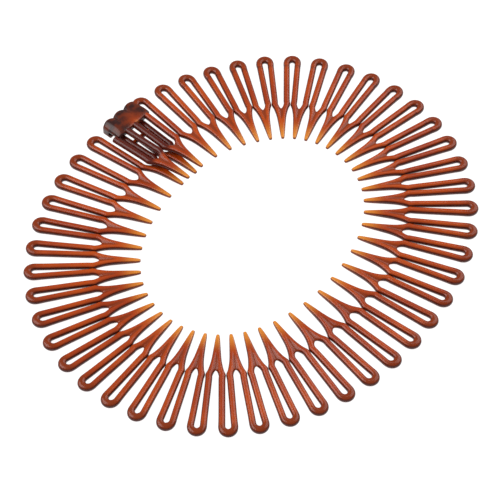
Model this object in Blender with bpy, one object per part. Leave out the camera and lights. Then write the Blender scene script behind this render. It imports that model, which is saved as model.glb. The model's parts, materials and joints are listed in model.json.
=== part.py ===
"""Full-circle stretch comb headband: a zigzag ring of forks with a hook clasp, lying flat.

The frame is metres with +Z up. The ring stands on the plane Z = 0, its bounding box is
centred on the Z axis, and the clasp is on the +Y side. Forks are numbered along the strip,
counterclockwise from above: fork_01 is the last fork of the catch end and the highest number
is the last fork of the hook end, which lies on top of the catch end.
"""

import math

import bpy
import bmesh
import numpy as np
from mathutils import Matrix, Vector

# Ring: forks along the strip, and how the closed ring bends
FORKS = 49
STACKED_FORKS = 2
PITCH = 0.0100
SQUASH_TURN = math.radians(1.95)
SQUASH_AXIS = math.radians(19.5)
CORNER_TURN = math.radians(0.65)

# One fork, measured inwards from the line through its two hinges
WIRE = 0.0022
THICKNESS = 0.0022
BEND_SPAN = 0.00426
BEND_CREST = 0.0028
ELBOW_SPAN = 0.0050
ELBOW_GAP = 0.0004
ELBOW_DEPTH = 0.0213
CROTCH_DEPTH = 0.0236
MERGE_DEPTH = 0.0278
MERGE_WIDTH = 0.0033
TOOTH_DEPTH = 0.0366
TIP_WIDTH = 0.0012
EDGE_INSET = 0.0003

# Gaps: at the living hinges, and between pieces that meet or pass
HINGE_GAP = 0.0004
CLEARANCE = 0.0003

# Clasp: how the hook end sits over the catch end, and the hook's own sizes
STACK_SHIFT = 0.0020
STACK_INSET = 0.0010
RAMP_FORKS = 4
HOOK_DEPTH = 0.0072
HOOK_LEFT = 0.0062
HOOK_RIGHT = 0.0090
HOOK_OUTER = 0.0008
HOOK_PLATE = 0.0024
HOOK_WALL = 0.0012
LOBES = 3
LOBE_HEIGHT = 0.0007
LIP_REACH = 0.0020
LIP_THICKNESS = 0.0008
POCKET_DEPTH = 0.0011
POCKET_SIDE = 0.0005

# Catch: the bow that the hook grips, the free end beside it, and the bars across the loop
BOW_THICKNESS = 0.0011
BOW_LEGS = 0.0052
FREE_END_DROP = 0.0009
BAR_DEPTH = 0.0118
BAR_WIDTH = 0.0014
BAR_INSET = 0.0003

# Resolution
OUTER_BEND_STEPS = 4
INNER_BEND_STEPS = 3
LOBE_STEPS = 4

RISE = THICKNESS + CLEARANCE
ROUND_FORKS = FORKS - STACKED_FORKS


def clear_scene():
    for obj in list(bpy.data.objects):
        bpy.data.objects.remove(obj, do_unlink=True)


def plastic(name, colour, roughness, transmission):
    """An amber hair-accessory plastic."""
    material = bpy.data.materials.new(name)
    material.use_nodes = True
    shader = material.node_tree.nodes["Principled BSDF"]
    shader.inputs["Base Color"].default_value = (*colour, 1.0)
    shader.inputs["Roughness"].default_value = roughness
    shader.inputs["Metallic"].default_value = 0.0
    shader.inputs["Transmission Weight"].default_value = transmission
    return material


# ---------------------------------------------------------------- the ring


def hinge_turns(mean, swing_cos, swing_sin):
    """The angle between neighbouring forks at each hinge, as a smooth function of place."""
    number = np.arange(1, FORKS)
    place = 2 * np.pi * (number - FORKS / 2) / ROUND_FORKS
    squash = SQUASH_TURN * np.cos(2 * place - SQUASH_AXIS)
    corner = CORNER_TURN * np.cos(4 * place)
    swing = swing_cos * np.cos(place) + swing_sin * np.sin(place)
    return mean + swing - squash - corner


def hinge_heights():
    """Hinge heights: flat on the ground, then a smooth rise onto the catch end."""
    number = np.arange(FORKS + 1)
    share = np.clip((number - (FORKS - STACKED_FORKS - RAMP_FORKS)) / RAMP_FORKS, 0, 1)
    return RISE * share * share * (3 - 2 * share)


def walk(unknowns):
    """Hinge points and fork headings for a chain of forks, starting at the origin."""
    turns = hinge_turns(*unknowns)
    headings = np.concatenate(([0.0], np.cumsum(turns)))
    steps = np.sqrt(PITCH**2 - np.diff(hinge_heights()) ** 2)
    points = np.zeros((FORKS + 1, 2))
    points[1:, 0] = np.cumsum(steps * np.cos(headings))
    points[1:, 1] = np.cumsum(steps * np.sin(headings))
    return points, headings


def closing_error(unknowns):
    """How far the hook end is from its place over the catch end."""
    points, headings = walk(unknowns)
    first = headings[0]
    along = np.array([math.cos(first), math.sin(first)])
    inward = np.array([-math.sin(first), math.cos(first)])
    reach = points[FORKS - 1] - points[1]
    turned = headings[FORKS - STACKED_FORKS] - first - 2 * math.pi
    return np.array([reach @ along + STACK_SHIFT, reach @ inward - STACK_INSET, turned * PITCH])


def close_ring():
    """Newton's method on the mean turn and the two swings until the ring closes."""
    unknowns = np.array([2 * math.pi / ROUND_FORKS, 0.0, 0.0])
    nudge = 1e-6
    for _ in range(12):
        error = closing_error(unknowns)
        slope = np.empty((3, 3))
        for column in range(3):
            nudged = unknowns.copy()
            nudged[column] += nudge
            slope[:, column] = (closing_error(nudged) - error) / nudge
        unknowns = unknowns - np.linalg.solve(slope, error)
    return unknowns


def ring_layout():
    """Hinge points, fork headings, hinge heights and elbow spans, with the clasp on +Y."""
    points, headings = walk(close_ring())
    clasp_heading = (headings[0] + headings[1]) / 2
    turn = math.pi - clasp_heading
    spin = np.array([[math.cos(turn), -math.sin(turn)], [math.sin(turn), math.cos(turn)]])
    points = points @ spin.T
    points = points - (points.min(axis=0) + points.max(axis=0)) / 2
    return points, headings + turn, hinge_heights(), elbow_spans(headings)


def elbow_spans(headings):
    """Distance between each fork's own arms at the elbows, where neighbouring arms nearly meet."""
    turns = np.diff(headings)
    mean_turns = (np.append(turns[0], turns) + np.append(turns, turns[-1])) / 2
    room = PITCH - 2 * ELBOW_DEPTH * np.tan(mean_turns / 2)
    return np.minimum(room - WIRE - ELBOW_GAP, ELBOW_SPAN)


def fork_matrix(number, ring):
    """A fork's frame: origin on its first hinge, X to its second hinge, Y to the ring's centre."""
    points, headings, heights, _ = ring
    start, end = number - 1, number
    tilt = math.asin((heights[end] - heights[start]) / PITCH)
    place = Matrix.Translation((*points[start], heights[start]))
    return place @ Matrix.Rotation(headings[start], 4, "Z") @ Matrix.Rotation(-tilt, 4, "Y")


# ---------------------------------------------------------------- outlines


def arc(centre, radius, start, end, steps):
    """Points on an arc, without its first point."""
    angles = [start + (end - start) * step / steps for step in range(1, steps + 1)]
    return [(centre[0] + radius * math.cos(a), centre[1] + radius * math.sin(a)) for a in angles]


def arm_centre(depth, elbow_span):
    """Distance of an arm's centre line from the fork's axis, at a depth below the hinges."""
    top, bottom = (PITCH - BEND_SPAN) / 2, elbow_span / 2
    share = (depth - BEND_SPAN / 2) / (ELBOW_DEPTH - BEND_SPAN / 2)
    return top + (bottom - top) * share


def arm_top(cut_depth, elbow_span):
    """Outline of an arm's outer end, loop side first: half a bend, or a square cut."""
    half, crest = WIRE / 2, BEND_CREST / 2
    if cut_depth is not None:
        centre = arm_centre(cut_depth, elbow_span)
        return [(centre + half, cut_depth), (centre - half, cut_depth)]
    face = (PITCH - HINGE_GAP) / 2
    inner_radius = BEND_SPAN / 2 - half
    outer_radius = BEND_SPAN / 2 + half
    inner_centre = (PITCH / 2, crest + inner_radius)
    outer_centre = (PITCH / 2, outer_radius - crest)
    inner = arc(inner_centre, inner_radius, math.pi, 1.5 * math.pi, INNER_BEND_STEPS)
    outer = arc(outer_centre, outer_radius, 1.5 * math.pi, math.pi, OUTER_BEND_STEPS)
    side = (PITCH / 2 - inner_radius, inner_centre[1])
    return [side, *inner[:-1], (face, crest), (face, -crest), *outer]


def half_fork(cut_depth, elbow_span):
    """Outline of one half from the tip out to the arm's end and back in to the crotch."""
    half = WIRE / 2
    elbow = elbow_span / 2
    return [
        (TIP_WIDTH * 0.25, TOOTH_DEPTH),
        (TIP_WIDTH / 2, TOOTH_DEPTH - TIP_WIDTH / 2),
        ((TIP_WIDTH + MERGE_WIDTH) * 0.23, (TOOTH_DEPTH + MERGE_DEPTH) / 2),
        (MERGE_WIDTH / 2, MERGE_DEPTH),
        (elbow + half * 0.5, CROTCH_DEPTH + half * 0.5),
        (elbow + half, ELBOW_DEPTH),
        *arm_top(cut_depth, elbow_span),
        (elbow - half, ELBOW_DEPTH - half),
        (elbow - half * 1.4, (ELBOW_DEPTH + CROTCH_DEPTH) / 2),
    ]


def fork_outline(elbow_span, near_cut=None, far_cut=None):
    """Closed outline of a fork. The near arm is on the side of its first hinge."""
    middle = PITCH / 2
    far = [(middle + x, y) for x, y in half_fork(far_cut, elbow_span)]
    near = [(middle - x, y) for x, y in half_fork(near_cut, elbow_span)]
    return far + [(middle, CROTCH_DEPTH)] + near[::-1]


def ribbon(path, width):
    """Closed outline of a strip of constant width along a path."""
    sides = []
    for index, point in enumerate(path):
        before = Vector(path[max(index - 1, 0)])
        after = Vector(path[min(index + 1, len(path) - 1)])
        along = (after - before).normalized()
        sides.append((Vector(point), Vector((-along.y, along.x)) * width / 2))
    left = [tuple(point + across) for point, across in sides]
    right = [tuple(point - across) for point, across in sides]
    return right + left[::-1]


def signed_area(outline):
    following = outline[1:] + outline[:1]
    return sum(x0 * y1 - x1 * y0 for (x0, y0), (x1, y1) in zip(outline, following)) / 2


def inset_outline(outline, inset):
    """The same outline moved inwards, for a counterclockwise outline."""
    moved = []
    count = len(outline)
    for index in range(count):
        before, here, after = (Vector(outline[(index + step) % count]) for step in (-1, 0, 1))
        first = (here - before).normalized()
        second = (after - here).normalized()
        normal_sum = Vector((-first.y - second.y, first.x + second.x))
        reach = inset * 2 / max(normal_sum.length_squared, 0.8)
        moved.append(tuple(here + normal_sum * reach))
    return moved


def prism(name, outline, bottom, top, inset):
    """A mesh from an outline, widest at half height, with its upper and lower edges drawn in."""
    if signed_area(outline) < 0:
        outline = outline[::-1]
    layers = [(outline, bottom), (outline, top)]
    if inset > 0:
        drawn_in = inset_outline(outline, inset)
        layers = [(drawn_in, bottom), (outline, (bottom + top) / 2), (drawn_in, top)]
    shape = bmesh.new()
    rings = [[shape.verts.new((x, y, z)) for x, y in points] for points, z in layers]
    shape.faces.new(rings[0][::-1])
    shape.faces.new(rings[-1])
    count = len(outline)
    for lower, upper in zip(rings, rings[1:]):
        for here in range(count):
            after = (here + 1) % count
            shape.faces.new((lower[here], lower[after], upper[after], upper[here]))
    shape.normal_update()
    bmesh.ops.triangulate(shape, faces=shape.faces[:])
    mesh = bpy.data.meshes.new(name)
    shape.to_mesh(mesh)
    shape.free()
    return mesh


def place(name, mesh, matrix, material, parent):
    if not mesh.materials:
        mesh.materials.append(material)
    obj = bpy.data.objects.new(name, mesh)
    obj.parent = parent
    obj.matrix_basis = matrix
    bpy.context.scene.collection.objects.link(obj)
    return obj


# ---------------------------------------------------------------- forks and clasp


def clasp_frame(ring):
    """The clasp's frame: origin on the hook end's last hinge, X clockwise, Y outwards."""
    points, headings, _, _ = ring
    last = FORKS - 1
    heading = (headings[last - 1] + headings[last]) / 2
    return Matrix.Translation((*points[last], 0.0)) @ Matrix.Rotation(heading - math.pi, 4, "Z")


def arm_cut(number, far, ring, clasp, level):
    """Depth at which a fork's arm stays just inside a level line of the clasp."""
    to_clasp = clasp.inverted() @ fork_matrix(number, ring)
    span = ring[3][number - 1]
    side = 1 if far else -1
    low, high = 0.0, ELBOW_DEPTH
    for _ in range(40):
        depth = (low + high) / 2
        ends = [side * (arm_centre(depth, span) + edge) for edge in (-WIRE / 2, WIRE / 2)]
        highest = max((to_clasp @ Vector((PITCH / 2 + x, depth, 0))).y for x in ends)
        if highest > level:
            low = depth
        else:
            high = depth
    return depth


def make_forks(ring, clasp, material, parent):
    """Every fork of the strip. The last two of the hook end and of the catch end are cut."""
    plate_edge = -HOOK_DEPTH - CLEARANCE
    legs_end = bow_outer() - BOW_LEGS - CLEARANCE
    free_end = bow_outer() - LIP_REACH - FREE_END_DROP
    last = FORKS
    cuts = {
        1: (arm_cut(1, False, ring, clasp, free_end), arm_cut(1, True, ring, clasp, legs_end)),
        2: (arm_cut(2, False, ring, clasp, legs_end), None),
        last - 1: tuple(arm_cut(last - 1, far, ring, clasp, plate_edge) for far in (False, True)),
        last: tuple(arm_cut(last, far, ring, clasp, plate_edge) for far in (False, True)),
    }
    for number in range(1, FORKS + 1):
        name = f"fork_{number:02d}"
        outline = fork_outline(ring[3][number - 1], *cuts.get(number, ()))
        mesh = prism(name, outline, 0.0, THICKNESS, EDGE_INSET)
        place(name, mesh, fork_matrix(number, ring), material, parent)


def bow_outer():
    """Outer edge of the catch bow, just inside the hook's outer wall."""
    return HOOK_OUTER - HOOK_WALL - CLEARANCE


def bow_centre(ring, clasp):
    """Place of the catch bow across the clasp: under the catch end's last hinge."""
    return (clasp.inverted() @ Vector((*ring[0][1], 0))).x


def arm_point(number, far, level, ring, clasp):
    """Where an arm's centre line crosses a level line of the clasp."""
    depth = arm_cut(number, far, ring, clasp, level)
    side = 1 if far else -1
    local = Vector((PITCH / 2 + side * arm_centre(depth, ring[3][number - 1]), depth, 0))
    return (clasp.inverted() @ fork_matrix(number, ring) @ local).x


def make_bow(ring, clasp, material, parent):
    """The thin bow that closes the catch end's last loop."""
    top = bow_outer()
    end = top - BOW_LEGS
    radius = BEND_SPAN / 2
    middle = (bow_centre(ring, clasp), top - WIRE / 2 - radius)
    right = arm_point(1, True, end, ring, clasp)
    left = arm_point(2, False, end, ring, clasp)
    curve = arc(middle, radius, 0, math.pi, 2 * OUTER_BEND_STEPS)
    path = [(right, end), (middle[0] + radius, middle[1]), *curve, (left, end)]
    mesh = prism("catch_bow", ribbon(path, WIRE), THICKNESS - BOW_THICKNESS, THICKNESS, 0)
    place("catch_bow", mesh, clasp, material, parent)


def make_bars(ring, clasp, material, parent):
    """Two short bars in line, across the catch end's last loop and its last fork."""
    level = (clasp.inverted() @ Vector((*ring[0][1], 0))).y - BAR_DEPTH
    edge = WIRE / 2 + CLEARANCE
    spans = {"loop_bar": ((2, False), (1, True)), "fork_bar": ((1, True), (1, False))}
    for name, (left_arm, right_arm) in spans.items():
        left = arm_point(*left_arm, level, ring, clasp) + edge
        right = arm_point(*right_arm, level, ring, clasp) - edge
        low, high = level - BAR_WIDTH / 2, level + BAR_WIDTH / 2
        outline = [(left, low), (right, low), (right, high), (left, high)]
        mesh = prism(name, outline, BAR_INSET, THICKNESS - BAR_INSET, 0)
        place(name, mesh, clasp, material, parent)


def lobed_outline(inner, slack=0.0):
    """Plan of the hook from an inner edge outwards, with lobes along its outer edge."""
    left, right = slack - HOOK_LEFT, HOOK_RIGHT - slack
    outline = [(left, inner), (right, inner), (right, HOOK_OUTER - slack)]
    for point in range(1, LOBES * LOBE_STEPS):
        bump = LOBE_HEIGHT * abs(math.sin(math.pi * point / LOBE_STEPS))
        share = point / (LOBES * LOBE_STEPS)
        outline.append((right + (left - right) * share, HOOK_OUTER - slack + bump))
    outline.append((left, HOOK_OUTER - slack))
    return outline


def tool(hook, operation, name, mesh, matrix, material, parent):
    """A guide solid that is joined to the hook or cut from it."""
    guide = place(name, mesh, matrix, material, parent)
    guide.hide_render = True
    guide.display_type = "WIRE"
    modifier = hook.modifiers.new(name, "BOOLEAN")
    modifier.object = guide
    modifier.operation = operation
    modifier.solver = "EXACT"


def make_hook(ring, clasp, material, parent):
    """The hook: a lobed plate, a wall outside the bow, a lip under it and a bend to the strip."""
    top = RISE + HOOK_PLATE
    middle_height = RISE + HOOK_PLATE / 2
    wall_inner = HOOK_OUTER - HOOK_WALL
    bow_radius = (BEND_SPAN + WIRE) / 2
    plate = prism("clasp_hook", lobed_outline(-HOOK_DEPTH), RISE, top, 0)
    hook = place("clasp_hook", plate, clasp, material, parent)
    common = (material, parent)

    wall_outline = lobed_outline(bow_outer() - POCKET_DEPTH)
    wall = prism("guide_wall", wall_outline, 0.0, middle_height, 0)
    tool(hook, "UNION", "guide_wall", wall, clasp, *common)

    lip_outline = lobed_outline(bow_outer() - LIP_REACH, HOOK_WALL / 2)
    lip = prism("guide_lip", lip_outline, 0.0, LIP_THICKNESS, 0)
    tool(hook, "UNION", "guide_lip", lip, clasp, *common)

    centre = bow_centre(ring, clasp)
    side = bow_radius + POCKET_SIDE
    level = bow_outer() - bow_radius
    angles = [math.pi * step / 12 for step in range(13)]
    rim = [(centre + side * math.cos(a), level + (wall_inner - level) * math.sin(a)) for a in angles]
    pocket_outline = [(centre - side, -HOOK_DEPTH), (centre + side, -HOOK_DEPTH), *rim]
    pocket = prism("guide_pocket", pocket_outline, LIP_THICKNESS, RISE, 0)
    tool(hook, "DIFFERENCE", "guide_pocket", pocket, clasp, *common)

    number = FORKS - 1
    span = ring[3][number - 1]
    start = arm_cut(number, False, ring, clasp, -HOOK_DEPTH / 2)
    arm_end = arm_top(start, span)
    half_bend = [arm_end[0], *arm_top(None, span), arm_end[1]]
    stub_outline = [(PITCH / 2 - x, y) for x, y in half_bend]
    stub = prism("guide_bend", stub_outline, 0.0, THICKNESS, EDGE_INSET)
    tool(hook, "UNION", "guide_bend", stub, fork_matrix(number, ring), *common)


def centre_on_origin(parent):
    """Moves the whole ring so that its bounding box is centred over the origin."""
    bpy.context.view_layer.update()
    solids = [obj for obj in bpy.data.objects if obj.type == "MESH" and not obj.hide_render]
    corners = [obj.matrix_world @ vertex.co for obj in solids for vertex in obj.data.vertices]
    for axis in (0, 1):
        values = [corner[axis] for corner in corners]
        parent.location[axis] = -(min(values) + max(values)) / 2


def main():
    clear_scene()
    amber = plastic("amber_plastic", (0.45, 0.06, 0.012), 0.18, 0.3)
    dark_amber = plastic("dark_amber_plastic", (0.09, 0.018, 0.010), 0.22, 0.1)
    parent = bpy.data.objects.new("headband", None)
    bpy.context.scene.collection.objects.link(parent)
    ring = ring_layout()
    clasp = clasp_frame(ring)
    make_forks(ring, clasp, amber, parent)
    make_bow(ring, clasp, amber, parent)
    make_bars(ring, clasp, amber, parent)
    make_hook(ring, clasp, dark_amber, parent)
    centre_on_origin(parent)


main()
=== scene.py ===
"""Stretch comb headband in amber plastic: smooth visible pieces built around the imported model.

Everything is in metres in the model's own frame: +Z up, the closed ring lies flat on Z = 0 and
its clasp is on the +Y side. Forks are numbered along the strip, counterclockwise from above.
"""

import json
import math

import bmesh
import bpy
import numpy as np
from bpy.props import FloatProperty, FloatVectorProperty, PointerProperty
from mathutils import Matrix, Vector


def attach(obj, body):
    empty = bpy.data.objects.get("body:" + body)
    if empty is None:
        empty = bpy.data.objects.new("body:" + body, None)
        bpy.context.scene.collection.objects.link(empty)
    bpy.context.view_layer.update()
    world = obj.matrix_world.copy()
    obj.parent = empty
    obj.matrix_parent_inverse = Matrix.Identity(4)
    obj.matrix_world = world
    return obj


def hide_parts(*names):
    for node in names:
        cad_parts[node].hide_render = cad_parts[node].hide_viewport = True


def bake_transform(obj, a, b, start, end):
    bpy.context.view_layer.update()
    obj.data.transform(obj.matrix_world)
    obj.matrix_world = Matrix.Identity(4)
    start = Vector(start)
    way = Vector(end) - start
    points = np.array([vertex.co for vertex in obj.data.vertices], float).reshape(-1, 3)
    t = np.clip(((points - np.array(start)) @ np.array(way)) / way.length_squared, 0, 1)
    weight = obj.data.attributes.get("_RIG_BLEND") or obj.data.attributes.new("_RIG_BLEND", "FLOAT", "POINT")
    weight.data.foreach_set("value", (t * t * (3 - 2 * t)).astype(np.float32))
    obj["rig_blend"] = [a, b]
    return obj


bl_info = {
    "name": "Stretch Comb Headband",
    "version": (1, 0, 0),
    "blender": (4, 5, 0),
    "location": "3D View > Sidebar > Headband",
    "description": "Builds a flat, closed stretch comb headband of translucent amber plastic",
    "category": "Object",
}

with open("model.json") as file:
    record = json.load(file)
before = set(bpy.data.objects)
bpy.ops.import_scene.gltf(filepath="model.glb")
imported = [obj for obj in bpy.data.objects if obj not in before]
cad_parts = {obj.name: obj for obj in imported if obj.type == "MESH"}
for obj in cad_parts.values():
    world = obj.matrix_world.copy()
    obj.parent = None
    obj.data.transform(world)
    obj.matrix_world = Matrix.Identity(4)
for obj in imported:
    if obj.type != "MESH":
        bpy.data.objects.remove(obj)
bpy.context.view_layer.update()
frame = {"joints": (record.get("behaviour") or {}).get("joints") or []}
MM = 0.001

# The strip: how many forks it has, how many lie doubled at the clasp, which of them move, over
# how many it rises onto the catch end, and the steps that close it
FORKS = 49
STACKED = 2
FIRST_MOVING = 36
LAST_MOVING = 47
RAMP_FORKS = 4
SOLVER_STEPS = 12

# Distances, in metres, under which two points are one and a point is on a fork's middle line
SAME_POINT = 1e-6
ON_AXIS = 1e-5

# Arms that lie doubled or thick at the clasp and get painted shade there, by fork: -1 is the near arm, 1 the
# far arm
SHADED_ARMS = {1: (-1, 1), 2: (-1,), 48: (1,), 49: (-1, 1)}

# Levels of the clasp's own frame, in millimetres outwards from the hook end's last hinge
BOW_TOP = -0.7
LEGS_END = -6.2
FREE_END = -3.6
LIP_END = BOW_TOP - 2.0
POCKET_WALL = BOW_TOP + 0.3
SOLID_WALL = BOW_TOP - 1.1

# Sizes at the clasp, in millimetres. The bars' depth is from the catch end's first hinge
BOW_OVERLAP = 1.2
BAR_DEPTH = 11.8
BAR_SHORTER = 0.6
BAR_WIDTH = 1.4
BAR_HEIGHT = 1.6
BAR_BEVEL = 0.45
HOOK_OVERLAP = 0.9
POCKET_ROOM = 0.5
LOW_END_REACH = 3.4
LOW_END_DROP = 0.9
LOBE_DIP = 0.55
HOOK_ROUNDING = 0.35
# Place along the hook and width of the painted glow patch on its inner edge
GLOW_PLACE = 2.8
GLOW_WIDTH = 2.6

# Section of an arm's cage, and how far the smooth surface lies inside it
CREST_HEIGHT = 1.12
SHOULDER_HEIGHT = 0.74
SECTION_PULL = 0.958
BEND_STEPS = 3
BEND_PULL = (2 + math.cos(math.pi / 2 / BEND_STEPS)) / 3

# The tooth's cage, in millimetres: how far past the elbow its crotch lies, how long its groove
# is, over what length the groove loses half its depth, and how far from the tip it flattens
CROTCH = 1.95
GROOVE_LENGTH = 4.0
GROOVE_FADE = 3.35
TIP_TAPER = 10

# The hook's cage: lobes, rows along it, and steps of a rounded corner
LOBES = 3
LOBE_SHAPE = 0.8
HOOK_ROWS = 56
CORNER_STEPS = 4

# Depth and painted thick shade given to the bow and to the bars
BOW_PAINT = (0.1, 1.0)
BAR_PAINT = (0.5, 0.0)

# The plastic: tints of its darker clouds and of its deepest painted shade, for the thickest plastic, how
# much roughness its ripples add, its index of refraction, and the angle above which an edge stays sharp
CLOUD_TINT = (0.72, 0.55, 0.6, 1)
THICKEST_SHADE = (0.02, 0.008, 0.007, 1)
RIPPLE_GLOSS = 0.16
PLASTIC_IOR = 1.42
SHARP_ANGLE = math.radians(50)

# The stage: half the floor's width and its drop in metres, and each light's name, place, size
# in metres and power in watts
FLOOR_SIZE = 3.0
FLOOR_DROP = 0.0001
WORLD_STRENGTH = 0.35
LIGHTS = (
    ("key light", (-0.35, 0.45, 0.7), 0.7, 5.0),
    ("fill light", (0.6, -0.1, 0.6), 0.7, 3.0),
)


# ---------------------------------------------------------------- settings


class HeadbandRing(bpy.types.PropertyGroup):
    """Sizes of the closed ring."""

    pitch: FloatProperty(
        name="Pitch",
        description="Distance between the two hinges of a fork",
        default=10.0 * MM,
        unit="LENGTH",
    )
    squash_turn: FloatProperty(
        name="Oval",
        description="How much the turn at each hinge changes between the long and short sides",
        default=math.radians(1.95),
        subtype="ANGLE",
    )
    squash_axis: FloatProperty(
        name="Oval's direction",
        description="Where along the strip the oval is flattest",
        default=math.radians(19.5),
        subtype="ANGLE",
    )
    corner_turn: FloatProperty(
        name="Corners",
        description="Extra turn towards the four corners of the oval",
        default=math.radians(0.65),
        subtype="ANGLE",
    )
    overlap_shift: FloatProperty(
        name="Overlap shift",
        description="How far the hook end lies along the strip from the catch end",
        default=2.0 * MM,
        unit="LENGTH",
    )
    overlap_inset: FloatProperty(
        name="Overlap inset",
        description="How far the hook end lies inside the catch end",
        default=1.0 * MM,
        unit="LENGTH",
    )
    layer_gap: FloatProperty(
        name="Layer gap",
        description="Clear height between the hook end and the catch end below it",
        default=0.3 * MM,
        unit="LENGTH",
    )


class HeadbandFork(bpy.types.PropertyGroup):
    """Sizes of one fork, measured inwards from the line through its hinges."""

    wire: FloatProperty(
        name="Wire",
        description="Width of an arm",
        default=2.2 * MM,
        unit="LENGTH",
    )
    thickness: FloatProperty(
        name="Thickness",
        description="Height of an arm above the plane the band lies on",
        default=2.2 * MM,
        unit="LENGTH",
    )
    bend_span: FloatProperty(
        name="Bend span",
        description="Distance between the centre lines of two arms joined by a bend",
        default=4.26 * MM,
        unit="LENGTH",
    )
    bend_crest: FloatProperty(
        name="Bend crest",
        description="Width of the bend at its outermost point",
        default=2.8 * MM,
        unit="LENGTH",
    )
    elbow_span: FloatProperty(
        name="Elbow span",
        description="Greatest distance between a fork's own arms at the elbows",
        default=5.6 * MM,
        unit="LENGTH",
    )
    elbow_gap: FloatProperty(
        name="Elbow gap",
        description="Smallest gap between the elbows of neighbouring forks",
        default=0.4 * MM,
        unit="LENGTH",
    )
    elbow_depth: FloatProperty(
        name="Elbow depth",
        description="Depth at which the arms turn in to the tooth",
        default=21.3 * MM,
        unit="LENGTH",
    )
    tooth_depth: FloatProperty(
        name="Tooth depth",
        description="Depth of the tooth's tip",
        default=36.6 * MM,
        unit="LENGTH",
    )
    groove: FloatProperty(
        name="Groove",
        description="Depth of the groove between the arms where they merge",
        default=1.0 * MM,
        unit="LENGTH",
    )
    seam_depth: FloatProperty(
        name="Seam depth",
        description="Depth at which a moving bend meets its forks' arms",
        default=3.6 * MM,
        unit="LENGTH",
    )


class HeadbandClasp(bpy.types.PropertyGroup):
    """Sizes of the hook and of the catch below it, in the clasp's own frame."""

    left: FloatProperty(
        name="Left",
        description="Reach of the hook from the strip's last hinge, away from the strip",
        default=6.2 * MM,
        unit="LENGTH",
    )
    right: FloatProperty(
        name="Right",
        description="Reach of the hook from the strip's last hinge, along the strip",
        default=9.0 * MM,
        unit="LENGTH",
    )
    inner: FloatProperty(
        name="Inner edge",
        description="Depth of the hook's inner edge",
        default=7.2 * MM,
        unit="LENGTH",
    )
    outer: FloatProperty(
        name="Outer edge",
        description="Reach of the hook's outer edge, without its lobes",
        default=0.8 * MM,
        unit="LENGTH",
    )
    lobe: FloatProperty(
        name="Lobe",
        description="Height of the three lobes on the outer edge",
        default=0.7 * MM,
        unit="LENGTH",
    )
    plate: FloatProperty(
        name="Plate",
        description="Thickness of the hook above the catch",
        default=2.4 * MM,
        unit="LENGTH",
    )
    lip: FloatProperty(
        name="Lip",
        description="Thickness of the lip under the catch bow",
        default=0.8 * MM,
        unit="LENGTH",
    )
    bow: FloatProperty(
        name="Bow",
        description="Thickness of the catch bow",
        default=1.1 * MM,
        unit="LENGTH",
    )


class HeadbandPlastic(bpy.types.PropertyGroup):
    """Colours and finish of the plastic, with the colours of its painted shade and painted glow."""

    amber: FloatVectorProperty(
        name="Amber",
        description="Colour of the arms",
        subtype="COLOR",
        default=(0.60, 0.084, 0.003),
    )
    # Painted shade: the dark colour painted on the steep sides of every piece
    rim: FloatVectorProperty(
        name="Rim Shade",
        description="Colour of the steep sides, where light has the longest way",
        subtype="COLOR",
        default=(0.085, 0.007, 0.001),
    )
    # Painted glow: the light colour painted on the thin tips, standing in for light coming through them
    glow: FloatVectorProperty(
        name="Glow",
        description="Colour of the thin tips, where most light comes through",
        subtype="COLOR",
        default=(0.95, 0.34, 0.04),
    )
    # Painted shade: the colour painted where the plastic lies doubled or thick at the clasp
    thick_shade: FloatVectorProperty(
        name="Thick Shade",
        description="Colour of the thick or doubled plastic at the clasp",
        subtype="COLOR",
        default=(0.120, 0.010, 0.003),
    )
    roughness: FloatProperty(
        name="Roughness",
        description="Roughness of the polished surface",
        default=0.22,
        min=0.0,
        max=1.0,
    )
    transmission: FloatProperty(
        name="Transmission",
        description="Share of the light that passes through the plastic",
        default=0.18,
        min=0.0,
        max=1.0,
    )


class HeadbandStage(bpy.types.PropertyGroup):
    """The floor, the lights and the camera."""

    azimuth: FloatProperty(
        name="Azimuth",
        description="Direction the camera looks from, around the ring",
        default=math.radians(-48.33),
        subtype="ANGLE",
    )
    elevation: FloatProperty(
        name="Elevation",
        description="Height of the camera above the floor, as an angle",
        default=math.radians(52.56),
        subtype="ANGLE",
    )
    roll: FloatProperty(
        name="Roll",
        description="Turn of the camera about its own axis",
        default=math.radians(-0.33),
        subtype="ANGLE",
    )
    distance: FloatProperty(
        name="Distance",
        description="Distance of the camera from the ring's middle",
        default=0.6632,
        unit="LENGTH",
    )
    view_angle: FloatProperty(
        name="View angle",
        description="Angle across the picture",
        default=math.radians(14.211),
        subtype="ANGLE",
    )
    slide: FloatVectorProperty(
        name="Slide",
        description="Sideways and upward move of the camera",
        size=2,
        default=(-1.31 * MM, -5.0 * MM),
        unit="LENGTH",
    )


# ---------------------------------------------------------------- the ring


def hinge_heights(thickness, layer_gap):
    """Hinge heights: flat, then a smooth rise onto the catch end."""
    number = np.arange(FORKS + 1)
    share = np.clip((number - (FORKS - STACKED - RAMP_FORKS)) / RAMP_FORKS, 0, 1)
    return (thickness + layer_gap) * share * share * (3 - 2 * share)


def walk(unknowns, ring, heights):
    """Hinge points and fork headings for a chain of forks with the given mean turn and swings."""
    mean, swing_cos, swing_sin = unknowns
    place = 2 * np.pi * (np.arange(1, FORKS) - FORKS / 2) / (FORKS - STACKED)
    swing = swing_cos * np.cos(place) + swing_sin * np.sin(place)
    squash = ring.squash_turn * np.cos(2 * place - ring.squash_axis)
    turns = mean + swing - squash - ring.corner_turn * np.cos(4 * place)
    headings = np.concatenate(([0.0], np.cumsum(turns)))
    steps = np.sqrt(ring.pitch**2 - np.diff(heights) ** 2)
    points = np.zeros((FORKS + 1, 2))
    points[1:, 0] = np.cumsum(steps * np.cos(headings))
    points[1:, 1] = np.cumsum(steps * np.sin(headings))
    return points, headings


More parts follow.
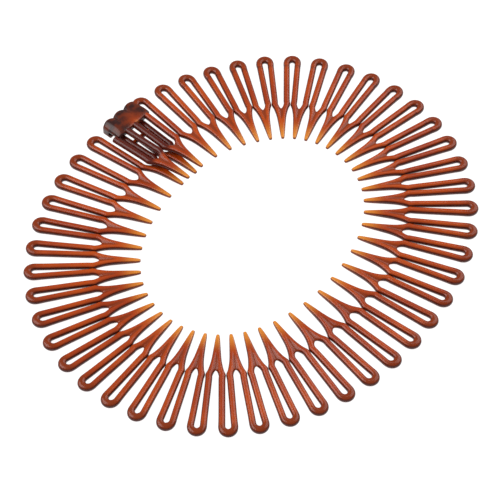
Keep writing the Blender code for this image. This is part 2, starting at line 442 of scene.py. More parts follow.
def closing_error(unknowns, ring, heights):
    """How far the hook end is from its place over the catch end."""
    points, headings = walk(unknowns, ring, heights)
    reach = points[FORKS - 1] - points[1]
    turned = headings[FORKS - STACKED] - headings[0] - 2 * math.pi
    return np.array(
        [reach[0] + ring.overlap_shift, reach[1] - ring.overlap_inset, turned * ring.pitch]
    )


def ring_layout(ring, fork):
    """Hinge points with heights, fork headings and elbow spans, set on the first joint."""
    heights = hinge_heights(fork.thickness, ring.layer_gap)
    unknowns = np.array([2 * math.pi / (FORKS - STACKED), 0.0, 0.0])
    nudge = 1e-6
    for _ in range(SOLVER_STEPS):
        error = closing_error(unknowns, ring, heights)
        slope = np.empty((3, 3))
        for column in range(3):
            nudged = unknowns.copy()
            nudged[column] += nudge
            slope[:, column] = (closing_error(nudged, ring, heights) - error) / nudge
        unknowns = unknowns - np.linalg.solve(slope, error)
    points, headings = walk(unknowns, ring, heights)
    turn = math.pi - (headings[0] + headings[1]) / 2
    spin = np.array([[math.cos(turn), -math.sin(turn)], [math.sin(turn), math.cos(turn)]])
    points = points @ spin.T
    first_joint = np.array(frame["joints"][0]["pos_m"][:2])
    points = points + first_joint - points[FIRST_MOVING - 1]
    turns = np.diff(headings)
    mean_turns = (np.append(turns[0], turns) + np.append(turns, turns[-1])) / 2
    room = ring.pitch - 2 * fork.elbow_depth * np.tan(mean_turns / 2)
    spans = np.minimum(room - fork.wire - fork.elbow_gap, fork.elbow_span)
    return np.column_stack((points, heights)), headings + turn, spans


def fork_matrix(number, layout, pitch):
    """A fork's frame: origin midway between its hinges, X to its far hinge, Y to the centre."""
    points, headings, _ = layout
    start, end = points[number - 1], points[number]
    tilt = math.asin((end[2] - start[2]) / pitch)
    turned = Matrix.Rotation(headings[number - 1], 4, "Z") @ Matrix.Rotation(-tilt, 4, "Y")
    return Matrix.Translation(Vector((start + end) / 2)) @ turned


def clasp_matrix(layout):
    """The clasp's frame: origin under the hook end's last hinge, X clockwise, Y outwards."""
    points, headings, _ = layout
    last = FORKS - 1
    heading = (headings[last - 1] + headings[last]) / 2
    place = Matrix.Translation((points[last][0], points[last][1], 0.0))
    return place @ Matrix.Rotation(heading - math.pi, 4, "Z")


# ---------------------------------------------------------------- cages


def grow(shape, edges, outer, inner):
    """Extrudes a row of two edges and sets its outer, middle and inner points."""
    made = bmesh.ops.extrude_edge_only(shape, edges=edges)["geom"]
    fresh = [item for item in made if isinstance(item, bmesh.types.BMVert)]
    new_edges = [
        item
        for item in made
        if isinstance(item, bmesh.types.BMEdge) and all(v in fresh for v in item.verts)
    ]
    fresh.sort(key=lambda vert: -vert.co.x)
    for vert, share in zip(fresh, (0.0, 0.5, 1.0)):
        vert.co.x = outer[0] + (inner[0] - outer[0]) * share
        vert.co.y = outer[1] + (inner[1] - outer[1]) * share
    return new_edges


def arm_offset(fork, pitch, span, depth):
    """Distance of an arm's centre line from the fork's middle, at a depth."""
    top, bottom = (pitch - fork.bend_span) / 2, span / 2
    share = (depth - fork.bend_span / 2) / (fork.elbow_depth - fork.bend_span / 2)
    return top + (bottom - top) * share


def fork_cage(number, fork, pitch, span):
    """The cage of one fork with a half bend at each arm, open at both hinges."""
    half, half_height = fork.wire / 2, fork.thickness / 2
    radius = fork.bend_span / 2
    cage_radius = radius / BEND_PULL
    cage_half = half / SECTION_PULL
    bend_half = cage_half / BEND_PULL
    swell = (fork.bend_crest - fork.wire) / 2
    shape = bmesh.new()
    crest = shape.verts.layers.float.new("crest")
    centre = Vector((pitch / 2, radius, 0))
    ends = [
        shape.verts.new(centre - Vector((0, cage_radius + side * bend_half, 0)))
        for side in (-1, 0, 1)
    ]
    ends[1][crest] = 1.0
    row = [shape.edges.new(pair) for pair in zip(ends, ends[1:])]
    made = bmesh.ops.spin(
        shape,
        geom=[*row, *ends],
        cent=centre,
        axis=(0, 0, 1),
        angle=-math.pi / 2,
        steps=BEND_STEPS,
    )["geom_last"]
    row = [item for item in made if isinstance(item, bmesh.types.BMEdge)]
    for vert in shape.verts:
        outside = ((vert.co - centre).length - cage_radius) / bend_half
        vert.co.y -= swell * outside
    elbow, tip = fork.elbow_depth, fork.tooth_depth
    for depth in (fork.seam_depth, 0.5 * elbow, 0.85 * elbow, elbow - 1.1 * MM):
        middle = arm_offset(fork, pitch, span, depth)
        row = grow(shape, row, (middle + cage_half, depth), (middle - cage_half, depth))
    corner = span / 2 + half
    wide = corner - 3.05 * MM
    stations = (
        (elbow + 0.15 * MM, corner + 0.36 * MM, -0.60 * MM, corner - 2.10 * MM),
        (elbow + 1.30 * MM, corner - 0.40 * MM, -0.45 * MM, corner - 2.45 * MM),
        (elbow + 3.00 * MM, 2.25 * MM + 0.5 * wide, -1.05 * MM, 0.0),
        (elbow + 5.30 * MM, 1.68 * MM + 0.2 * wide, 0.0, 0.0),
        (tip - 7.00 * MM, 1.36 * MM, 0.0, 0.0),
        (tip - 3.40 * MM, 0.98 * MM, 0.0, 0.0),
        (tip - 0.55 * MM, 0.70 * MM, 0.0, 0.0),
        (tip + 0.12 * MM, 0.42 * MM, 0.0, 0.0),
    )
    # Each row: its depth, its outer edge, how much deeper its inner edge lies, its inner edge
    for depth, outer_x, inner_shift, inner_x in stations:
        row = grow(shape, row, (outer_x, depth), (inner_x, depth + inner_shift))
    everything = shape.verts[:] + shape.edges[:] + shape.faces[:]
    bmesh.ops.mirror(shape, geom=everything, axis="X", merge_dist=SAME_POINT)
    bmesh.ops.remove_doubles(shape, verts=shape.verts[:], dist=SAME_POINT)
    bmesh.ops.recalc_face_normals(shape, faces=shape.faces[:])
    bottom = shape.faces[:]
    made = bmesh.ops.extrude_face_region(shape, geom=bottom, use_keep_orig=True)["geom"]
    top = [item for item in made if isinstance(item, bmesh.types.BMVert)]
    bmesh.ops.translate(shape, verts=top, vec=(0, 0, fork.thickness))
    raised = set(top)
    crotch = elbow + CROTCH * MM
    groove_end = crotch + GROOVE_LENGTH * MM
    for vert in shape.verts:
        depth = vert.co.y
        side = 1 if vert in raised else -1
        past = max(0.0, (depth - (tip - TIP_TAPER * MM)) / (TIP_TAPER * MM))
        height = half_height * (1 - 0.5 * past * past)
        on_axis = abs(vert.co.x) < ON_AXIS
        if vert[crest] and depth < groove_end:
            height *= CREST_HEIGHT
        elif not vert[crest] and not on_axis:
            height *= SHOULDER_HEIGHT
        if on_axis and crotch - 0.1 * MM < depth < groove_end:
            height -= fork.groove * (1 - 0.5 * (depth - crotch) / (GROOVE_FADE * MM))
        vert.co.z = half_height + side * height
    flat_ends = [
        face
        for face in shape.faces
        if all(abs(abs(vert.co.x) - pitch / 2) < SAME_POINT for vert in face.verts)
    ]
    bmesh.ops.delete(shape, geom=flat_ends, context="FACES")
    bmesh.ops.recalc_face_normals(shape, faces=shape.faces[:])
    depth_layer = shape.verts.layers.float.new("depth")
    thick_shade_layer = shape.verts.layers.float.new("thick_shade")
    groove_shade_layer = shape.verts.layers.float.new("groove_shade")
    shaded = SHADED_ARMS.get(number, ())
    # Depth steers the painted glow at the tip and the painted shade at the bends; doubled arms get painted
    # shade up to the crotch, and the groove's middle line gets painted shade
    for vert in shape.verts:
        vert[depth_layer] = vert.co.y / tip
        doubled = any(vert.co.x * side > ON_AXIS for side in shaded)
        vert[thick_shade_layer] = 1.0 if doubled and vert.co.y < crotch else 0.0
        in_groove = abs(vert.co.x) < ON_AXIS and vert.co.y < groove_end
        vert[groove_shade_layer] = 1.0 if in_groove else 0.0
    shape.verts.layers.float.remove(shape.verts.layers.float["crest"])
    return shape


def arm_depth(number, far, level, fork, pitch, layout):
    """Depth at which an arm's centre line crosses a level line of the clasp, and its place."""
    to_clasp = clasp_matrix(layout).inverted() @ fork_matrix(number, layout, pitch)
    span = layout[2][number - 1]
    side = 1 if far else -1
    ends = [
        Vector((side * arm_offset(fork, pitch, span, depth), depth, 0))
        for depth in (0.0, fork.elbow_depth)
    ]
    top, bottom = (to_clasp @ end for end in ends)
    share = (level - top.y) / (bottom.y - top.y)
    return share * fork.elbow_depth, top.x + (bottom.x - top.x) * share


def cut_arm(shape, far, depth):
    """Removes what one arm has above a depth, and leaves it open there."""
    side = 1 if far else -1
    verts = [vert for vert in shape.verts if vert.co.x * side > SAME_POINT]
    own = set(verts)
    faces = [face for face in shape.faces if all(vert in own for vert in face.verts)]
    edges = {edge for face in faces for edge in face.edges}
    bmesh.ops.bisect_plane(
        shape,
        geom=[*verts, *edges, *faces],
        dist=SAME_POINT,
        plane_co=(0, depth, 0),
        plane_no=(0, -1, 0),
        clear_outer=True,
    )
    loose = [vert for vert in shape.verts if not vert.link_faces]
    bmesh.ops.delete(shape, geom=loose, context="VERTS")


def keep_bend(shape, far, depth):
    """Removes everything but one arm's half bend above a depth."""
    side = 1 if far else -1
    gone = [
        face
        for face in shape.faces
        if face.calc_center_median().y > depth or face.calc_center_median().x * side < 0
    ]
    bmesh.ops.delete(shape, geom=gone, context="FACES")


def strip(forks, fork, pitch, layout):
    """A run of forks as one closed cage. Each fork is its number and a function that trims it."""
    joined = bmesh.new()
    for name in ("depth", "thick_shade", "groove_shade"):
        joined.verts.layers.float.new(name)
    meeting = {}
    for number, trim in forks:
        single = fork_cage(number, fork, pitch, layout[2][number - 1])
        trim(single)
        mesh = bpy.data.meshes.new("single")
        single.to_mesh(mesh)
        single.free()
        before = len(joined.verts)
        joined.from_mesh(mesh)
        bpy.data.meshes.remove(mesh)
        joined.verts.ensure_lookup_table()
        added = joined.verts[before:]
        for side, hinge in ((-1, number - 1), (1, number)):
            ends = [v for v in added if abs(v.co.x * side - pitch / 2) < SAME_POINT]
            ends.sort(key=lambda vert: (round(vert.co.z, 6), round(vert.co.y, 6)))
            meeting.setdefault(hinge, []).append(ends)
        bmesh.ops.transform(joined, matrix=fork_matrix(number, layout, pitch), verts=added)
    for pair in meeting.values():
        if len(pair) == 2 and len(pair[0]) == len(pair[1]):
            for first, second in zip(*pair):
                first.co = second.co = (first.co + second.co) / 2
    bmesh.ops.remove_doubles(joined, verts=joined.verts[:], dist=SAME_POINT)
    close_ends(joined)
    return joined


def close_ends(shape):
    """Fills each open arm end with a flat face and keeps its rim crisp."""
    crease = shape.edges.layers.float.get("crease_edge")
    crease = crease or shape.edges.layers.float.new("crease_edge")
    rims = [edge for edge in shape.edges if edge.is_boundary]
    bmesh.ops.holes_fill(shape, edges=rims, sides=6)
    for edge in rims:
        edge[crease] = 1.0
    bmesh.ops.recalc_face_normals(shape, faces=shape.faces[:])


def paint(shape, values):
    """Gives a cage its depth map and its map of painted thick shade from a function of place."""
    depth = shape.verts.layers.float.get("depth") or shape.verts.layers.float.new("depth")
    thick_shade = shape.verts.layers.float.get("thick_shade") or shape.verts.layers.float.new("thick_shade")
    for vert in shape.verts:
        vert[depth], vert[thick_shade] = values(vert.co)


def rounded(corners, inset):
    """Points of a profile with its corners rounded, drawn in by an inset."""
    count = len(corners)
    points = []
    for index, (y, z, radius) in enumerate(corners):
        here = Vector((y, z))
        before = Vector(corners[index - 1][:2])
        after = Vector(corners[(index + 1) % count][:2])
        incoming, outgoing = (here - before).normalized(), (after - here).normalized()
        normal = Vector((-incoming.y - outgoing.y, incoming.x + outgoing.x))
        normal = normal / max(normal.length_squared / 2, 0.5)
        centre = here + normal * inset
        if radius == 0:
            points.append(centre)
            continue
        first, last = centre - incoming * radius, centre + outgoing * radius
        for step in range(CORNER_STEPS + 1):
            share = step / CORNER_STEPS
            points.append(first.lerp(centre, share).lerp(centre.lerp(last, share), share))
    return points


def finish_piece(name, shape, material, body, nodes=(), levels=2, blend=None):
    """Makes a smooth piece of a cage and gives it its material, body and upward-facing map."""
    mesh = bpy.data.meshes.new(name)
    shape.to_mesh(mesh)
    shape.free()
    mesh.materials.append(material)
    obj = bpy.data.objects.new(name, mesh)
    bpy.context.scene.collection.objects.link(obj)
    smooth = obj.modifiers.new("Smooth", "SUBSURF")
    smooth.levels = smooth.render_levels = levels
    evaluated = obj.evaluated_get(bpy.context.evaluated_depsgraph_get())
    obj.data = bpy.data.meshes.new_from_object(evaluated)
    obj.modifiers.clear()
    obj.data.name = name
    bpy.data.meshes.remove(mesh)
    normals = np.empty(3 * len(obj.data.vertices))
    obj.data.vertices.foreach_get("normal", normals)
    # How far each point faces up or down; the material paints shade on the steep sides from it
    rise = obj.data.attributes.new("rise", "FLOAT", "POINT")
    rise.data.foreach_set("value", normals[2::3])
    obj.data.shade_smooth()
    obj.data.set_sharp_from_angle(angle=SHARP_ANGLE)
    if blend:
        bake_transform(obj, *body, start=blend[0], end=blend[1])
    else:
        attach(obj, body)
    if nodes:
        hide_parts(*nodes)
    return obj


# ---------------------------------------------------------------- materials


def add_node(tree, kind, inputs=(), **values):
    """Adds a node, sets its properties, and fills its inputs with numbers or links."""
    made = tree.nodes.new(kind)
    for key, value in values.items():
        setattr(made, key, value)
    for name, value in dict(inputs).items():
        if isinstance(value, bpy.types.NodeSocket):
            tree.links.new(value, made.inputs[name])
        else:
            made.inputs[name].default_value = value
    return made


def blend_colours(tree, factor, first, second, mode="MIX"):
    """Mixes two colours, and gives the socket with the result."""
    inputs = {"Factor": factor, "A": first, "B": second}
    mix = add_node(tree, "ShaderNodeMix", inputs, data_type="RGBA", blend_type=mode)
    return mix.outputs["Result"]


def remap(tree, value, low, high, start=0.0, end=1.0):
    """A smooth step of a value between two limits."""
    inputs = {"Value": value, "From Min": low, "From Max": high, "To Min": start, "To Max": end}
    made = add_node(tree, "ShaderNodeMapRange", inputs, interpolation_type="SMOOTHSTEP")
    return made.outputs["Result"]


def amber_effect():
    """The shared effect: painted shade on steep sides, on bends, in the groove and where plastic is doubled
    or thick, painted glow at the tips, mottled clouds and soft ripples.
    """
    found = bpy.data.node_groups.get("amber effect")
    if found:
        return found
    tree = bpy.data.node_groups.new("amber effect", "ShaderNodeTree")
    for name in ("Amber", "Rim Shade", "Glow", "Thick Shade"):
        tree.interface.new_socket(name, in_out="INPUT", socket_type="NodeSocketColor")
    for name in ("Mottle", "Thickness", "Base Roughness"):
        tree.interface.new_socket(name, in_out="INPUT", socket_type="NodeSocketFloat")
    tree.interface.new_socket("Color", in_out="OUTPUT", socket_type="NodeSocketColor")
    tree.interface.new_socket("Roughness", in_out="OUTPUT", socket_type="NodeSocketFloat")
    tree.interface.new_socket("Normal", in_out="OUTPUT", socket_type="NodeSocketVector")
    given = tree.nodes.new("NodeGroupInput").outputs
    place = add_node(tree, "ShaderNodeTexCoord").outputs["Object"]

    def attribute(name):
        return add_node(tree, "ShaderNodeAttribute", attribute_name=name).outputs["Fac"]

    def noise(scale, detail):
        inputs = {"Vector": place, "Scale": scale, "Detail": detail}
        return add_node(tree, "ShaderNodeTexNoise", inputs).outputs["Fac"]

    depth = attribute("depth")
    # Painted glow: towards the tip the colour turns to the glow colour
    tip = remap(tree, depth, 0.78, 1.02)
    # Painted shade: points that face neither up nor down get the rim shade, points that face up or down keep
    # the body colour
    rise = add_node(tree, "ShaderNodeMath", {0: attribute("rise")}, operation="ABSOLUTE")
    facing = remap(tree, rise.outputs["Value"], 0.42, 0.94)
    # On thick plastic the painted rim shade gives way where the tips get their painted glow
    lit = add_node(
        tree, "ShaderNodeMath", {0: tip, 1: given["Thickness"]}, operation="MULTIPLY"
    )
    facing = add_node(
        tree, "ShaderNodeMath", {0: facing, 1: lit.outputs["Value"]}, operation="MAXIMUM"
    ).outputs["Value"]
    cloud = remap(tree, noise(55, 3), 0.35, 0.68)
    deep = blend_colours(tree, 1.0, given["Amber"], CLOUD_TINT, "MULTIPLY")
    body = blend_colours(tree, cloud, deep, given["Amber"])
    # Painted shade: the bends are darkened towards a tone between the painted rim shade and the amber; the
    # same tone makes the lighter mottled clouds in the thick shade
    bend = remap(tree, depth, 0.02, 0.12, 0.9, 0.0)
    shade_and_mottle_tone = blend_colours(tree, 0.35, given["Rim Shade"], given["Amber"])
    body = blend_colours(tree, bend, body, shade_and_mottle_tone)
    body = blend_colours(tree, tip, body, given["Glow"])
    # At the tips the painted rim shade is lighter, under the painted glow
    lit_rim = blend_colours(tree, 0.3, given["Rim Shade"], given["Amber"])
    rim = blend_colours(tree, tip, given["Rim Shade"], lit_rim)
    surface = blend_colours(tree, facing, rim, body)
    # Painted shade along the middle of the groove where the arms merge
    groove_shade = remap(tree, attribute("groove_shade"), 0.15, 0.6, 0.0, 0.8)
    surface = blend_colours(tree, groove_shade, surface, shade_and_mottle_tone)
    speckle = remap(tree, noise(420, 4), 0.42, 0.62)
    patch = add_node(
        tree, "ShaderNodeMath", {0: speckle, 1: given["Mottle"]}, operation="MULTIPLY"
    )
    # Painted shade where the plastic is doubled or thick, deepest for the thickest material, with mottled
    # clouds in a lighter tone
    thick = blend_colours(tree, given["Thickness"], given["Thick Shade"], THICKEST_SHADE)
    thick_shade = blend_colours(tree, patch.outputs["Value"], thick, shade_and_mottle_tone)
    colour = blend_colours(tree, attribute("thick_shade"), surface, thick_shade)
    ripples = noise(70, 1)
    gloss = add_node(
        tree,
        "ShaderNodeMath",
        {0: ripples, 1: RIPPLE_GLOSS, 2: given["Base Roughness"]},
        operation="MULTIPLY_ADD",
    )
    bump = add_node(
        tree, "ShaderNodeBump", {"Height": ripples, "Strength": 0.12, "Distance": 0.0005}
    )
    add_node(
        tree,
        "NodeGroupOutput",
        {
            "Color": colour,
            "Roughness": gloss.outputs["Value"],
            "Normal": bump.outputs["Normal"],
        },
    )
    return tree


def plastic(name, mottle, thickness, transmission):
    """Polished amber plastic, with painted shade and painted glow from the pieces' own maps."""
    found = bpy.data.materials.get(name)
    if found:
        return found
    settings = bpy.context.scene.headband_plastic
    material = bpy.data.materials.new(name)
    material.use_nodes = True
    tree = material.node_tree
    shader = tree.nodes["Principled BSDF"]
    inputs = {
        "Amber": (*settings.amber, 1),
        "Rim Shade": (*settings.rim, 1),
        "Glow": (*settings.glow, 1),
        "Thick Shade": (*settings.thick_shade, 1),
        "Mottle": mottle,
        "Thickness": thickness,
        "Base Roughness": settings.roughness - RIPPLE_GLOSS / 2,
    }
    effect = add_node(tree, "ShaderNodeGroup", (), node_tree=amber_effect())
    for key, value in inputs.items():
        effect.inputs[key].default_value = value
    tree.links.new(effect.outputs["Color"], shader.inputs["Base Color"])
    tree.links.new(effect.outputs["Roughness"], shader.inputs["Roughness"])
    tree.links.new(effect.outputs["Normal"], shader.inputs["Normal"])
    shader.inputs["Transmission Weight"].default_value = transmission
    shader.inputs["IOR"].default_value = PLASTIC_IOR
    return material


def amber_material():
    """The clear amber of the forks, the bow and the bars."""
    transmission = bpy.context.scene.headband_plastic.transmission
    return plastic("amber plastic", mottle=0.1, thickness=0.0, transmission=transmission)


def shaded_material():
    """The thick, mottled amber of the hook, with deeper painted shade for its thickness."""
    return plastic("shaded amber plastic", mottle=0.4, thickness=0.8, transmission=0.05)


# ---------------------------------------------------------------- operators


def whole(shape):
    """Keeps a fork as it is."""


class HEADBAND_OT_ring(bpy.types.Operator):
    """Build the standing part of the ring as one continuous strip"""

    bl_idname = "headband.ring"
    bl_label = "Standing Strip"

    def execute(self, context):
        ring, fork = context.scene.headband_ring, context.scene.headband_fork
        layout = ring_layout(ring, fork)
        last = FIRST_MOVING - 1
        legs = arm_depth(2, False, LEGS_END * MM, fork, ring.pitch, layout)[0]
        runs = [(2, lambda shape: cut_arm(shape, False, legs))]
        runs += [(number, whole) for number in range(3, last)]
        runs.append((last, lambda shape: cut_arm(shape, True, fork.seam_depth)))
        shape = strip(runs, fork, ring.pitch, layout)
        nodes = [f"fork_{number:02d}" for number in range(2, last + 1)]
        finish_piece("strip", shape, amber_material(), "band", nodes)
        return {"FINISHED"}


class HEADBAND_OT_segments(bpy.types.Operator):
    """Build the moving forks and the bends between them"""

    bl_idname = "headband.segments"
    bl_label = "Moving Forks"

    def execute(self, context):
        ring, fork = context.scene.headband_ring, context.scene.headband_fork
        layout = ring_layout(ring, fork)

        def trim(shape):
            cut_arm(shape, True, fork.seam_depth)
            cut_arm(shape, False, fork.seam_depth)

        for number in range(FIRST_MOVING, LAST_MOVING + 1):
            shape = strip([(number, trim)], fork, ring.pitch, layout)
            body = f"segment_{number}"
            name = f"fork_{number}_smooth"
            finish_piece(name, shape, amber_material(), body, [f"fork_{number:02d}"])
        for hinge in range(FIRST_MOVING - 1, LAST_MOVING):
            add_bend(hinge, f"segment_{hinge + 1}", fork, ring.pitch, layout)
        return {"FINISHED"}


def add_bend(hinge, after, fork, pitch, layout):
    """The bend across a moving hinge: it bends from the body before it to the one after it."""
    halves = [
        (hinge, lambda shape: keep_bend(shape, True, fork.seam_depth)),
        (hinge + 1, lambda shape: keep_bend(shape, False, fork.seam_depth)),
    ]
    shape = strip(halves, fork, pitch, layout)
    before = "band" if hinge < FIRST_MOVING else f"segment_{hinge}"
    points, headings, _ = layout
    heading = (headings[hinge - 1] + headings[hinge]) / 2
    along = Vector((math.cos(heading), math.sin(heading), 0))
    reach = along * (fork.bend_span - fork.wire) / 2
    ends = (Vector(points[hinge]) - reach, Vector(points[hinge]) + reach)
    finish_piece(f"bend_{hinge}", shape, amber_material(), (before, after), blend=ends)


class HEADBAND_OT_catch(bpy.types.Operator):
    """Build the catch end: its last fork, the bow that the hook grips, and the two bars"""

    bl_idname = "headband.catch"
    bl_label = "Catch End"

    def execute(self, context):
        scene = context.scene
        ring, fork, clasp = scene.headband_ring, scene.headband_fork, scene.headband_clasp
        layout = ring_layout(ring, fork)
        to_world = clasp_matrix(layout)
        sizes = (fork, ring.pitch, layout)
        free_level, leg_level = FREE_END * MM, LEGS_END * MM

        def trim(shape):
            cut_arm(shape, False, arm_depth(1, False, free_level, *sizes)[0])
            cut_arm(shape, True, arm_depth(1, True, leg_level, *sizes)[0])

        shape = strip([(1, trim)], fork, ring.pitch, layout)
        finish_piece("fork_01_smooth", shape, amber_material(), "band", ["fork_01"])

        radius = fork.bend_span / 2
        first_hinge = to_world.inverted() @ Vector((*layout[0][1][:2], 0))
        middle = Vector((first_hinge.x, BOW_TOP * MM - fork.wire / 2 - radius, 0))
        bottom, top = fork.thickness - clasp.bow, fork.thickness
        shape = bmesh.new()
        made = bmesh.ops.create_grid(
            shape,
            x_segments=1,
            y_segments=1,
            size=0.5,
            matrix=Matrix.Translation(middle + Vector((radius, 0, (bottom + top) / 2)))
            @ Matrix.Rotation(math.pi / 2, 4, "X")
            @ Matrix.Diagonal((fork.wire / SECTION_PULL, clasp.bow / SECTION_PULL, 1, 1)),
        )
        cap = made["verts"][0].link_faces[0]
        swept = bmesh.ops.spin(
            shape,
            geom=[cap, *cap.edges, *cap.verts],
            cent=middle,
            axis=(0, 0, 1),
            angle=math.pi,
            steps=2 * BEND_STEPS,
        )["geom_last"]
        far_cap = next(item for item in swept if isinstance(item, bmesh.types.BMFace))
        legs = ((cap, 1, True, -1), (far_cap, 2, False, 1))
        for face, number, far, side in legs:
            level = (LEGS_END - BOW_OVERLAP) * MM
            across = arm_depth(number, far, level, *sizes)[1]
            made = bmesh.ops.extrude_face_region(shape, geom=[face])["geom"]
            verts = [item for item in made if isinstance(item, bmesh.types.BMVert)]
            move = Vector((across - middle.x + side * radius, level - middle.y, 0))
            bmesh.ops.translate(shape, verts=verts, vec=move)
        paint(shape, lambda place: BOW_PAINT)
        bmesh.ops.transform(shape, matrix=to_world, verts=shape.verts[:])
        bmesh.ops.recalc_face_normals(shape, faces=shape.faces[:])
        finish_piece("catch_bow_smooth", shape, amber_material(), "band", ["catch_bow"])

        level = first_hinge.y - BAR_DEPTH * MM
        for name, (number, far), (end_number, end_far) in (
            ("loop_bar", (2, False), (1, True)),
            ("fork_bar", (1, True), (1, False)),
        ):
            left = arm_depth(number, far, level, *sizes)[1]
            right = arm_depth(end_number, end_far, level, *sizes)[1]
            shape = bmesh.new()
            bmesh.ops.create_cube(
                shape,
                size=1.0,
                matrix=to_world
                @ Matrix.Translation(((left + right) / 2, level, fork.thickness / 2))
                @ Matrix.Diagonal(
                    (right - left - BAR_SHORTER * MM, BAR_WIDTH * MM, BAR_HEIGHT * MM, 1)
                ),
            )
            long_edges = [
                edge for edge in shape.edges if edge.calc_length() > (right - left) / 2
            ]
            bmesh.ops.bevel(
                shape,
                geom=long_edges,
                affect="EDGES",
                offset=BAR_BEVEL * MM,
                segments=3,
                profile=0.5,
                material=-1,
            )
            paint(shape, lambda place: BAR_PAINT)
            bmesh.ops.recalc_face_normals(shape, faces=shape.faces[:])
            finish_piece(f"{name}_smooth", shape, amber_material(), "band", [name], levels=0)
        return {"FINISHED"}


class HEADBAND_OT_hook(bpy.types.Operator):
    """Build the hook end: its two forks, the lobed hook and the bend that carries it"""

    bl_idname = "headband.hook"
    bl_label = "Hook End"

    def execute(self, context):
        scene = context.scene
        ring, fork, clasp = scene.headband_ring, scene.headband_fork, scene.headband_clasp
        layout = ring_layout(ring, fork)
        to_world = clasp_matrix(layout)
        sizes = (fork, ring.pitch, layout)
        level = -clasp.inner + HOOK_OVERLAP * MM
        for number in (FORKS - 1, FORKS):

            def trim(shape):
                for far in (False, True):
                    cut_arm(shape, far, arm_depth(number, far, level, *sizes)[0])

            shape = strip([(number, trim)], fork, ring.pitch, layout)
            name = f"fork_{number}_smooth"
            finish_piece(name, shape, amber_material(), "hook_end", [f"fork_{number}"])

        add_bend(FORKS - STACKED, "hook_end", fork, ring.pitch, layout)

        rise = fork.thickness + ring.layer_gap
        top = rise + clasp.plate
        radius = fork.bend_span / 2 + fork.wire / 2 + POCKET_ROOM * MM
        first_hinge = to_world.inverted() @ Vector((*layout[0][1][:2], 0))
        pocket = (first_hinge.x - radius, first_hinge.x + radius)
        length = clasp.right + clasp.left

        def profile(x, inset):
            """The hook's outline across the strip, at a place along it."""
            share = (x + clasp.left) / length
            wave = abs(math.sin(LOBES * math.pi * share)) ** LOBE_SHAPE
            low_end = min(1.0, max(0.0, 1 - (x + clasp.left) / (LOW_END_REACH * MM)))
            outer = clasp.outer + clasp.lobe * wave
            height = top - LOW_END_DROP * MM * low_end * low_end
            in_pocket = pocket[0] < x < pocket[1]
            wall = (POCKET_WALL if in_pocket else SOLID_WALL) * MM
            lip_end = LIP_END * MM
            dip = LOBE_DIP * MM * (1 - wave)
            # Each corner: its place outwards, its height, and its rounding
            corners = [
                (-clasp.inner, rise, 0.3 * MM),
                (lip_end, rise, 0),
                (wall, rise, 0),
                (wall, clasp.lip, 0),
                (lip_end, clasp.lip, 0.15 * MM),
                (lip_end, 0, 0.15 * MM),
                (outer, 0, 0.35 * MM),
                (outer, height - 1.6 * MM, 0),
                (outer - 0.25 * MM, height - 0.1 * MM - dip, 0.7 * MM),
                (outer - 2.4 * MM, height - 0.8 * dip, 0),
                (-clasp.inner + 3.2 * MM, height - 0.25 * dip, 0),
                (-clasp.inner + 1.7 * MM, height - 0.1 * MM, 0),
                (-clasp.inner, height - 0.25 * MM, 0.6 * MM),
            ]
            return rounded(corners, inset)

        # Each row: its place along the hook, and how far its profile is drawn in
        edge_round = HOOK_ROUNDING * MM
        stations = [(-clasp.left, edge_round), (-clasp.left + 0.1 * MM, 0.15 * MM)]
        for row in range(HOOK_ROWS + 1):
            x = -clasp.left + edge_round + (length - 2 * edge_round) * row / HOOK_ROWS
            stations.append((x, 0.0))
        for edge in pocket:
            stations += [(edge - 0.01 * MM, 0.0), (edge + 0.01 * MM, 0.0)]
        stations += [(clasp.right - 0.1 * MM, 0.15 * MM), (clasp.right, edge_round)]
        stations.sort()

        shape = bmesh.new()
        points = profile(*stations[0])
        ring_verts = bmesh.ops.create_circle(shape, segments=len(points), radius=1)["verts"]
        order = {vert: index for index, vert in enumerate(ring_verts)}
        for x, inset in stations:
            if x > stations[0][0]:
                rim = [e for e in shape.edges if all(v in order for v in e.verts)]
                made = bmesh.ops.extrude_edge_only(shape, edges=rim)["geom"]
                fresh = [item for item in made if isinstance(item, bmesh.types.BMVert)]
                grown = {}
                for vert in fresh:
                    source = next(
                        edge.other_vert(vert)
                        for edge in vert.link_edges
                        if edge.other_vert(vert) in order
                    )
                    grown[vert] = order[source]
                order = grown
            points = profile(x, inset)
            for vert, index in order.items():
                vert.co = (x, points[index].x, points[index].y)
        rims = [edge for edge in shape.edges if edge.is_boundary]
        filled = bmesh.ops.holes_fill(shape, edges=rims, sides=0)["faces"]
        bmesh.ops.triangulate(shape, faces=filled)
        bmesh.ops.recalc_face_normals(shape, faces=shape.faces[:])

        def thick_shade_here(place):
            """Depth and painted thick shade, with a painted glow patch near the middle of the inner edge."""
            inward = (place.y + clasp.inner) / (clasp.inner + clasp.outer)
            across = (place.x - GLOW_PLACE * MM) / (GLOW_WIDTH * MM)
            glow = math.exp(-across * across) * max(0.0, 1 - 1.3 * max(0.0, inward))
            return 0.45 + 0.45 * glow, 1.0 - 0.9 * glow

        paint(shape, thick_shade_here)
        bmesh.ops.transform(shape, matrix=to_world, verts=shape.verts[:])
        finish_piece(
            "hook", shape, shaded_material(), "hook_end", ["clasp_hook"], levels=0
        )
        return {"FINISHED"}


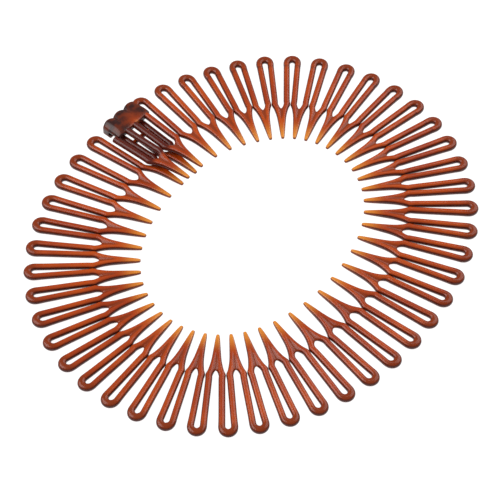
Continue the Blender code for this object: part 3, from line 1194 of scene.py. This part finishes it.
class HEADBAND_OT_stage(bpy.types.Operator):
    """Add the floor, the lights and the camera"""

    bl_idname = "headband.stage"
    bl_label = "Stage"

    def execute(self, context):
        stage = context.scene.headband_stage
        shape = bmesh.new()
        bmesh.ops.create_grid(
            shape,
            x_segments=1,
            y_segments=1,
            size=FLOOR_SIZE,
            matrix=Matrix.Translation((0, 0, -FLOOR_DROP)),
        )
        mesh = bpy.data.meshes.new("floor")
        shape.to_mesh(mesh)
        shape.free()
        floor = bpy.data.objects.new("floor", mesh)
        context.scene.collection.objects.link(floor)
        white = bpy.data.materials.new("white floor")
        white.use_nodes = True
        shader = white.node_tree.nodes["Principled BSDF"]
        shader.inputs["Base Color"].default_value = (0.2, 0.2, 0.2, 1)
        shader.inputs["Roughness"].default_value = 0.9
        shader.inputs["Emission Color"].default_value = (1, 1, 1, 1)
        shader.inputs["Emission Strength"].default_value = 1.0
        mesh.materials.append(white)

        world = bpy.data.worlds.new("studio")
        world.use_nodes = True
        world.node_tree.nodes["Background"].inputs["Color"].default_value = (1, 1, 1, 1)
        world.node_tree.nodes["Background"].inputs["Strength"].default_value = WORLD_STRENGTH
        context.scene.world = world

        for name, place, size, power in LIGHTS:
            data = bpy.data.lights.new(name, "AREA")
            data.size = size
            data.energy = power
            lamp = bpy.data.objects.new(name, data)
            lamp.location = place
            lamp.rotation_mode = "QUATERNION"
            lamp.rotation_quaternion = Vector(place).to_track_quat("Z", "Y")
            context.scene.collection.objects.link(lamp)

        camera = bpy.data.cameras.new("camera")
        camera.sensor_fit = "HORIZONTAL"
        camera.angle = stage.view_angle
        holder = bpy.data.objects.new("camera", camera)
        azimuth, elevation = stage.azimuth, stage.elevation
        back = Vector(
            (
                math.sin(azimuth) * math.cos(elevation),
                -math.cos(azimuth) * math.cos(elevation),
                math.sin(elevation),
            )
        )
        right = Vector((math.cos(azimuth), math.sin(azimuth), 0))
        up = back.cross(right)
        holder.location = back * stage.distance + right * stage.slide[0] + up * stage.slide[1]
        axes = Matrix((right, up, back)).transposed()
        turned = Matrix.Rotation(stage.roll, 3, back) @ axes
        holder.rotation_euler = turned.to_euler()
        context.scene.collection.objects.link(holder)
        context.scene.camera = holder
        context.scene.view_settings.view_transform = "Standard"
        return {"FINISHED"}


class HEADBAND_PT_panel(bpy.types.Panel):
    """Lists the headband's operators"""

    bl_label = "Headband"
    bl_space_type = "VIEW_3D"
    bl_region_type = "UI"
    bl_category = "Headband"

    def draw(self, context):
        for operator in OPERATORS:
            self.layout.operator(operator.bl_idname)


OPERATORS = (
    HEADBAND_OT_ring,
    HEADBAND_OT_segments,
    HEADBAND_OT_catch,
    HEADBAND_OT_hook,
    HEADBAND_OT_stage,
)
SETTINGS = {
    "headband_ring": HeadbandRing,
    "headband_fork": HeadbandFork,
    "headband_clasp": HeadbandClasp,
    "headband_plastic": HeadbandPlastic,
    "headband_stage": HeadbandStage,
}


def register():
    for name, group in SETTINGS.items():
        bpy.utils.register_class(group)
        setattr(bpy.types.Scene, name, PointerProperty(type=group))
    for cls in (*OPERATORS, HEADBAND_PT_panel):
        bpy.utils.register_class(cls)


def unregister():
    for cls in (HEADBAND_PT_panel, *reversed(OPERATORS)):
        bpy.utils.unregister_class(cls)
    for name, group in reversed(SETTINGS.items()):
        delattr(bpy.types.Scene, name)
        bpy.utils.unregister_class(group)


def main():
    register()
    bpy.ops.headband.ring()
    bpy.ops.headband.segments()
    bpy.ops.headband.catch()
    bpy.ops.headband.hook()
    bpy.ops.headband.stage()


if __name__ == "__main__":
    main()
